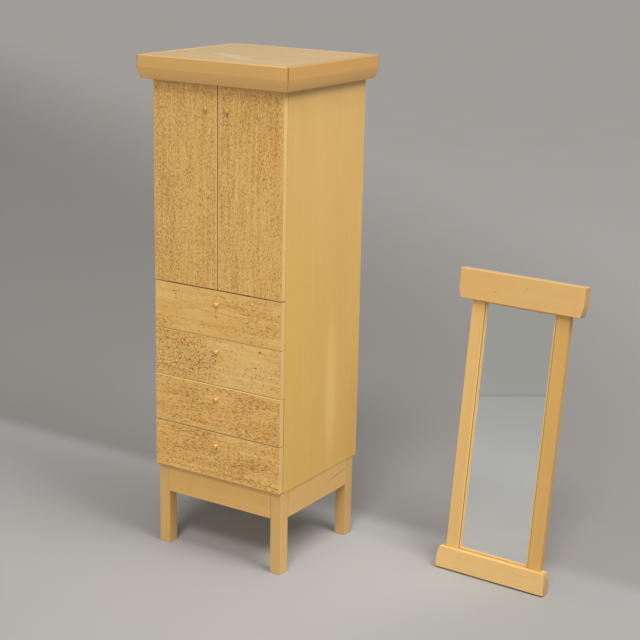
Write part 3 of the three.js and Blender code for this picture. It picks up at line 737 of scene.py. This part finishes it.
def jointed_box(node, board):
    """A drawer box: its walls' grain, the sawn ends between the fingers, and the plywood bottom."""
    low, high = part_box(node)
    finish = Finish(f"inner birch {node}", roughness=0.55)
    x, y, z = finish.axes(finish.object_place)
    from_side = finish.math("MINIMUM", finish.minus(x, low.x), finish.minus(high.x, x))
    from_end = finish.math("MINIMUM", finish.minus(y, low.y), finish.minus(high.y, y))
    normal = finish.axes(finish.object_normal)
    facing_side = finish.math("GREATER_THAN", finish.math("ABSOLUTE", normal["X"]), 0.7)
    facing_end = finish.math("GREATER_THAN", finish.math("ABSOLUTE", normal["Y"]), 0.7)
    in_side_wall = finish.math("LESS_THAN", from_side, BOX_WALL)
    in_end_wall = finish.math("LESS_THAN", from_end, BOX_WALL)
    rise = finish.math("DIVIDE", finish.minus(z, low.z), FINGER)
    odd = finish.math("GREATER_THAN", finish.math("FRACT", finish.times(rise, 0.5)), 0.5)
    even = finish.minus(1.0, odd)
    edge = finish.math("LESS_THAN", finish.math("PINGPONG", rise, 0.5), 0.018)

    along_y, _ = wood_colour(finish, grain_place(finish, "y", board), INNER_LIGHT, INNER_DARK)
    along_x, _ = wood_colour(finish, grain_place(finish, "x", board + 1), INNER_LIGHT, INNER_DARK)
    runs_y = finish.math("MAXIMUM", facing_side, finish.times(in_side_wall, finish.minus(1.0, facing_end)))
    colour = finish.mix(runs_y, along_x, along_y)
    specks = finish.noise(finish.object_place, scale=1400.0, detail=1.0)
    sawn = finish.mix(specks, (0.50, 0.33, 0.15), (0.38, 0.23, 0.10))
    on_side = finish.times(finish.times(facing_side, in_end_wall), odd)
    on_end = finish.times(finish.times(facing_end, in_side_wall), even)
    colour = finish.mix(finish.math("MAXIMUM", on_side, on_end), colour, sawn)
    corner = finish.math(
        "MAXIMUM", finish.times(facing_side, in_end_wall), finish.times(facing_end, in_side_wall))
    colour = finish.mix(finish.times(finish.times(corner, edge), 0.6), colour, (0.16, 0.09, 0.04))

    past_side = finish.math("GREATER_THAN", from_side, BOX_WALL)
    past_end = finish.math("GREATER_THAN", from_end, BOX_WALL)
    inside = finish.times(past_side, past_end)
    at_floor = finish.math("LESS_THAN", finish.minus(z, low.z), BOX_FLOOR + 0.5 * MM)
    waves = finish.noise(finish.mapped(grain_place(finish, "x", board + 2), scale=(9, 9, 1.4)), detail=3.0)
    ply = finish.mix(waves, PLY_LIGHT, PLY_DARK)
    finish.colour(finish.mix(finish.times(inside, at_floor), colour, ply))
    fibres = stretched(finish, grain_place(finish, "y", board), 0.0016, 0.05, detail=2.0)
    finish.relief(fibres, 0.0001)
    wear(node, finish.material)


for number in DRAWERS:
    jointed_box(f"drawer_{number}_box", 60 + 3 * number)
print("inner boards and", len(DRAWERS), "boxes finished")

# %% [markdown]
# ## Metal, glass and hardboard
# The pivots are brass, brushed dull by hand. The catch and the hanging plate are plated steel. The
# glass is silvered, so a metal with almost no roughness stands for it, tinted faintly green as thick
# glass is. The backboard is hardboard: brown, dull and flecked with fibres.

# %% Metal, glass and hardboard
def metal(name, colour, worn, roughness):
    """A metal with clouds of wear and fine scratches."""
    finish = Finish(name, roughness=roughness, metallic=1.0)
    clouds = finish.noise(finish.object_place, scale=160.0, detail=4.0, roughness=0.65)
    scratches = finish.noise(finish.mapped(finish.object_place, scale=(60, 2400, 2400)), detail=2.0)
    finish.colour(finish.mix(finish.step(clouds, 0.45, 0.75), colour, worn))
    finish.gloss(finish.spread(finish.plus(clouds, scratches), 0.6, 1.4, roughness - 0.1, roughness + 0.14))
    finish.relief(scratches, 0.00004)
    return finish.material


brass = metal("brass", (0.640, 0.470, 0.215), (0.450, 0.300, 0.120), 0.34)
steel = metal("plated steel", (0.560, 0.555, 0.540), (0.400, 0.395, 0.380), 0.38)
for name in ("pivot_top_left", "pivot_top_right", "pivot_bottom_left", "pivot_bottom_right"):
    wear(name, brass)
wear("door_catch", steel)
wear("mirror_hanger", steel)

silvering = Finish("silvered glass", roughness=0.015, metallic=1.0)
haze = silvering.noise(silvering.object_place, scale=6.0, detail=3.0)
silvering.colour(silvering.mix(haze, (0.890, 0.905, 0.900), (0.865, 0.880, 0.875)))
wear("mirror_glass", silvering.material)

fibreboard = Finish("hardboard", roughness=0.8)
flecks = fibreboard.noise(fibreboard.object_place, scale=900.0, detail=3.0, roughness=0.7)
blotches = fibreboard.noise(fibreboard.object_place, scale=14.0, detail=2.0)
brown = fibreboard.mix(blotches, (0.175, 0.098, 0.050), (0.135, 0.072, 0.036))
flecked = fibreboard.step(flecks, 0.55, 0.75, 0.0, 0.5)
fibreboard.colour(fibreboard.mix(flecked, brown, (0.270, 0.165, 0.090)))
fibreboard.relief(flecks, 0.0002)
wear("mirror_backboard", fibreboard.material)
print("metal, glass and hardboard finished")

# %% [markdown]
# ## Eased edges
# A planed board has its sharp edges taken off with a pass or two of sandpaper, and that thin line
# catches the light. The CAD boards have their larger chamfers, and a Bevel modifier rounds what is
# left. Their triangles are loose, so a Weld comes first. The meshes themselves aren't changed.

# %% Eased edges
EASE = {"default": 0.4 * MM, "mirror_glass": 0.8 * MM}
NOT_EASED = {name for name in nodes if name.endswith("_knob") or name.startswith("pivot_")}


def ease(node):
    """Rounds the sharp edges of one piece, unless it is turned."""
    if node in NOT_EASED:
        return
    weld = nodes[node].modifiers.new("weld", "WELD")
    weld.merge_threshold = 0.02 * MM
    bevel = nodes[node].modifiers.new("ease", "BEVEL")
    bevel.width = EASE.get(node, EASE["default"])
    bevel.segments = 2
    bevel.limit_method = "ANGLE"
    bevel.angle_limit = math.radians(28)
    bevel.harden_normals = True


for name in nodes:
    ease(name)
print("eased", len(nodes) - len(NOT_EASED), "pieces")

# %% [markdown]
# ## Helpers for what grows from a tree of Geometry Nodes
# Knobs, pins and screws repeat, so each kind is one Geometry Nodes tree with named sizes. The tree
# runs on an empty mesh, its result becomes a plain mesh, and that mesh rides on its body. A helper
# does these last steps the same way for all of them.

# %% Helpers for Geometry Nodes
class Tree(Bench):
    """A Geometry Nodes tree with named inputs."""

    def __init__(self, name, **inputs):
        self.tree = bpy.data.node_groups.new(name, "GeometryNodeTree")
        kinds = {float: "NodeSocketFloat", int: "NodeSocketInt", Vector: "NodeSocketVector"}
        for key, value in inputs.items():
            label = key.replace("_", " ")
            kind = kinds.get(type(value), "NodeSocketMaterial")
            socket = self.tree.interface.new_socket(label, in_out="INPUT", socket_type=kind)
            if value is not None:
                socket.default_value = value
        self.tree.interface.new_socket("Geometry", in_out="OUTPUT", socket_type="NodeSocketGeometry")
        self.inputs = self.tree.nodes.new("NodeGroupInput").outputs

    def end(self, geometry, material):
        real = self.add("GeometryNodeRealizeInstances", {0: geometry})
        dressed = self.add("GeometryNodeSetMaterial", {"Geometry": real, "Material": material})
        output = self.tree.nodes.new("NodeGroupOutput")
        self.tree.links.new(dressed, output.inputs[0])


def plain_mesh(name, tree, **values):
    """Runs a tree on an empty mesh and returns an object with the result as its own plain mesh."""
    thing = bpy.data.objects.new(name, bpy.data.meshes.new(name))
    bpy.context.collection.objects.link(thing)
    modifier = thing.modifiers.new(name, "NODES")
    modifier.node_group = tree.tree
    items = tree.tree.interface.items_tree
    identifiers = {item.name: item.identifier for item in items if item.in_out == "INPUT"}
    for key, value in values.items():
        modifier[identifiers[key.replace("_", " ")]] = value
    evaluated = thing.evaluated_get(bpy.context.evaluated_depsgraph_get())
    made = bpy.data.meshes.new_from_object(evaluated)
    thing.modifiers.clear()
    thing.data = made
    made.name = name
    return thing


print("helpers ready")

# %% [markdown]
# ## Knobs
# Each door and drawer has one small turned knob: a round head with a soft crown, a slimmer neck and
# a spigot that is glued into the front. It could be modelled ring by ring or with a Screw modifier.
# Geometry Nodes do it as a turner would: a flat grid is rolled up round the axis, and a Float Curve
# is the template that says how far each ring stands from it.

# %% The knob's tree
turning = Tree(
    "turned knob", Place=Vector(), Radius=6.5 * MM, Length=30 * MM, Around=48, Along=72, Finish=None)
grid = turning.add("GeometryNodeMeshGrid", {
    "Size X": 1.0, "Size Y": 1.0,
    "Vertices X": turning.inputs["Around"], "Vertices Y": turning.inputs["Along"]})
where = turning.tree.nodes.new("ShaderNodeSeparateXYZ")
turning.put(where, 0, turning.add("GeometryNodeInputPosition", {}))
angle = turning.times(turning.plus(where.outputs["X"], 0.5), -2 * math.pi)
share = turning.plus(where.outputs["Y"], 0.5)
template = turning.tree.nodes.new("ShaderNodeFloatCurve")
TEMPLATE = (
    # share of the length from the crown, share of the radius
    (0.000, 0.00), (0.014, 0.42), (0.040, 0.74), (0.090, 0.93), (0.155, 1.00), (0.220, 0.97), (0.285, 0.84),
    (0.345, 0.70), (0.400, 0.63), (0.455, 0.66), (0.510, 0.77), (0.521, 0.77), (0.528, 0.46), (0.984, 0.46),
    (1.000, 0.00),
)
curve = template.mapping.curves[0]
curve.points[0].location, curve.points[-1].location = TEMPLATE[0], TEMPLATE[-1]
for share_along, share_across in TEMPLATE[1:-1]:
    curve.points.new(share_along, share_across)
template.mapping.update()
turning.put(template, "Value", share)
radius = turning.times(template.outputs[0], turning.inputs["Radius"])
ring = turning.add("ShaderNodeCombineXYZ", {
    "X": turning.times(radius, turning.math("COSINE", angle)),
    "Y": turning.times(share, turning.inputs["Length"]),
    "Z": turning.times(radius, turning.math("SINE", angle)),
})
placed = turning.add("ShaderNodeVectorMath", {0: ring, 1: turning.inputs["Place"]}, operation="ADD")
rolled = turning.add("GeometryNodeSetPosition", {"Geometry": grid, "Position": placed})
closed = turning.add("GeometryNodeMergeByDistance", {"Geometry": rolled, "Distance": 0.005 * MM})
smooth = turning.add("GeometryNodeSetShadeSmooth", {"Geometry": closed})
turning.end(smooth, turning.inputs["Finish"])

# %% The six knobs
turned_birch = plain_birch(
    "turned birch", "y", 90, light=(0.820, 0.560, 0.230), dark=(0.690, 0.440, 0.155),
    roughness=0.42, coat=0.1)
for body in ("door_left", "door_right", "drawer_1", "drawer_2", "drawer_3", "drawer_4"):
    stood_for = f"{body}_knob"
    low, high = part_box(stood_for)
    middle = (low + high) / 2
    knob = plain_mesh(
        f"{body}_turned_knob", turning, Place=(middle.x, low.y, middle.z), Radius=(high.x - low.x) / 2,
        Length=high.y - low.y, Finish=turned_birch)
    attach(knob, body)
    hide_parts(stood_for)
print("turned 6 knobs,", len(knob.data.polygons), "faces each")

# %% [markdown]
# ## Nails, brads and screws
# The back panel is nailed to the four boards it covers. Thin brads hold the mirror's backboard in its
# rebate, and two screws hold the hanging plate. They stand in rows, so one Geometry Nodes tree sets
# any row: a line of points with a small domed head at each, which a scale makes flat or long. An
# array of objects would leave many loose pieces, where each row here becomes one mesh.

# %% The tree for a row of small fixings
fixings = Tree(
    "fixings in a row", First=Vector(), Last=Vector(), Count=6, Radius=2.0 * MM,
    Scale=Vector((1, 1, 1)), Finish=None)
points = fixings.add("GeometryNodeMeshLine", {
    "Count": fixings.inputs["Count"],
    "Start Location": fixings.inputs["First"],
    "Offset": fixings.inputs["Last"],
}, mode="END_POINTS")
head = fixings.add(
    "GeometryNodeMeshUVSphere", {"Segments": 16, "Rings": 8, "Radius": fixings.inputs["Radius"]})
rounded = fixings.add("GeometryNodeSetShadeSmooth", {"Geometry": head})
heads = fixings.add("GeometryNodeInstanceOnPoints", {
    "Points": points, "Instance": rounded, "Scale": fixings.inputs["Scale"]})
fixings.end(heads, fixings.inputs["Finish"])

# %% Nails in the back panel
panel_low, panel_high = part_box("back_panel")
NAIL_INSET, NAIL_RADIUS, NAIL_SHAPE = 24 * MM, 1.9 * MM, Vector((1.0, 0.45, 1.0))
for held_board in CROSS_BOARDS:
    board_low, board_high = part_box(held_board)
    level = (board_low.z + board_high.z) / 2
    row = plain_mesh(
        f"nails_{held_board}", fixings, First=(panel_low.x + NAIL_INSET, panel_high.y, level),
        Last=(panel_high.x - NAIL_INSET, panel_high.y, level), Count=6, Radius=NAIL_RADIUS,
        Scale=NAIL_SHAPE, Finish=steel)
    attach(row, "cabinet")

# %% Brads and screws in the mirror's back
MIRROR_TO_SET = (
    Matrix.Translation(MIRROR_FOOT)
    @ Matrix.Rotation(MIRROR_TURN, 4, "Z")
    @ Matrix.Rotation(-MIRROR_LEAN, 4, "X"))
REBATE_X, REBATE_LOW, REBATE_HIGH, BRAD_REACH = 121.3 * MM, 57.3 * MM, 818.7 * MM, 3.2 * MM
BRAD_DEPTH, CORNER = -3.9 * MM, 60 * MM
SCREW_X, SCREW_LEVEL, SCREW_DEPTH = 15 * MM, 863 * MM, -1.7 * MM
side_x, low_z, high_z = REBATE_X - BRAD_REACH, REBATE_LOW + BRAD_REACH, REBATE_HIGH - BRAD_REACH
end_x, first_z, last_z = side_x - CORNER, low_z + CORNER, high_z - CORNER
BRAD, SCREW = 0.65 * MM, 2.8 * MM
LYING, STANDING, FLAT = Vector((4.5, 1.0, 1.0)), Vector((1.0, 1.0, 4.5)), Vector((1.0, 0.40, 1.0))
ROWS = (
    # name, first place, last place, how many, radius, shape
    ("brads_left", (-side_x, BRAD_DEPTH, first_z), (-side_x, BRAD_DEPTH, last_z), 5, BRAD, LYING),
    ("brads_right", (side_x, BRAD_DEPTH, first_z), (side_x, BRAD_DEPTH, last_z), 5, BRAD, LYING),
    ("brads_foot", (-end_x, BRAD_DEPTH, low_z), (end_x, BRAD_DEPTH, low_z), 2, BRAD, STANDING),
    ("brads_head", (-end_x, BRAD_DEPTH, high_z), (end_x, BRAD_DEPTH, high_z), 2, BRAD, STANDING),
    ("hanger_screws", (-SCREW_X, SCREW_DEPTH, SCREW_LEVEL), (SCREW_X, SCREW_DEPTH, SCREW_LEVEL), 2,
     SCREW, FLAT),
)
for name, first, last, count, radius, shape in ROWS:
    row = plain_mesh(
        name, fixings, First=first, Last=last, Count=count, Radius=radius, Scale=shape, Finish=steel)
    row.data.transform(MIRROR_TO_SET)
    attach(row, "mirror")
print("set", len(CROSS_BOARDS) + len(ROWS), "rows of fixings")

# %% [markdown]
# ## The floor
# A plain pale floor carries the set, a little darker at the right and a little paler further in
# front, which the glass shows. Behind the set its colour sinks softly to grey, so that the back edge
# of the floor is never a hard line. Far in front and to the left it is grey too, from a straight
# darker edge on, and the glass shows that edge as a level line a little above its middle. One noise
# and a few soft steps do this on a single face. A floor of several pieces would show its joints.

# %% The floor
FLOOR_REACH = 60.0
PALE, PALE_RIGHT, PALE_FRONT = (0.415, 0.404, 0.400), (0.354, 0.346, 0.342), (0.500, 0.500, 0.490)
GREY, GREY_RIGHT = (0.290, 0.277, 0.270), (0.458, 0.436, 0.430)
FAR_GREY, EDGE_GREY = (0.463, 0.454, 0.440), (0.309, 0.304, 0.295)
EDGE_AT, EDGE_SLANT, EDGE_IN_FRONT = -2.335, 0.0285, -3.0
floor_mesh = bpy.data.meshes.new("floor")
corners = [(x * FLOOR_REACH, y * FLOOR_REACH, 0) for x, y in ((-1, -1), (1, -1), (1, 1), (-1, 1))]
floor_mesh.from_pydata(corners, [], [(0, 1, 2, 3)])
floor = bpy.data.objects.new("floor", floor_mesh)
bpy.context.collection.objects.link(floor)
ground = Finish("floor", roughness=0.55)
ground.shader.inputs["Specular IOR Level"].default_value = 0.05
across, back, _ = ground.axes(ground.object_place)
mottle = ground.noise(ground.object_place, scale=2.2, detail=3.0)
edge = ground.math("MULTIPLY_ADD", back, EDGE_SLANT, EDGE_AT)
beyond = ground.minus(edge, across)
in_front = ground.step(back, EDGE_IN_FRONT, EDGE_IN_FRONT - 0.5)
tone = ground.mix(ground.step(across, 0.05, 0.55), PALE, PALE_RIGHT)
tone = ground.mix(ground.step(back, -0.9, -2.6), tone, PALE_FRONT)
tone = ground.mix(ground.times(ground.step(beyond, -0.03, 0.05), in_front), tone, FAR_GREY)
line = ground.times(ground.step(beyond, -0.02, 0.05), ground.step(beyond, 0.17, 0.07))
tone = ground.mix(ground.times(line, ground.times(in_front, 0.45)), tone, EDGE_GREY)
greys = ground.mix(ground.step(ground.math("MULTIPLY_ADD", across, 0.6, back), 1.0, 4.2), GREY, GREY_RIGHT)
tone = ground.mix(ground.step(back, 0.25, 0.37), tone, greys)
ground.colour(ground.mix(ground.spread(mottle, 0.3, 0.7, 0.0, 0.06), tone, (0.30, 0.29, 0.27)))
floor_mesh.materials.append(ground.material)
print("floor laid")
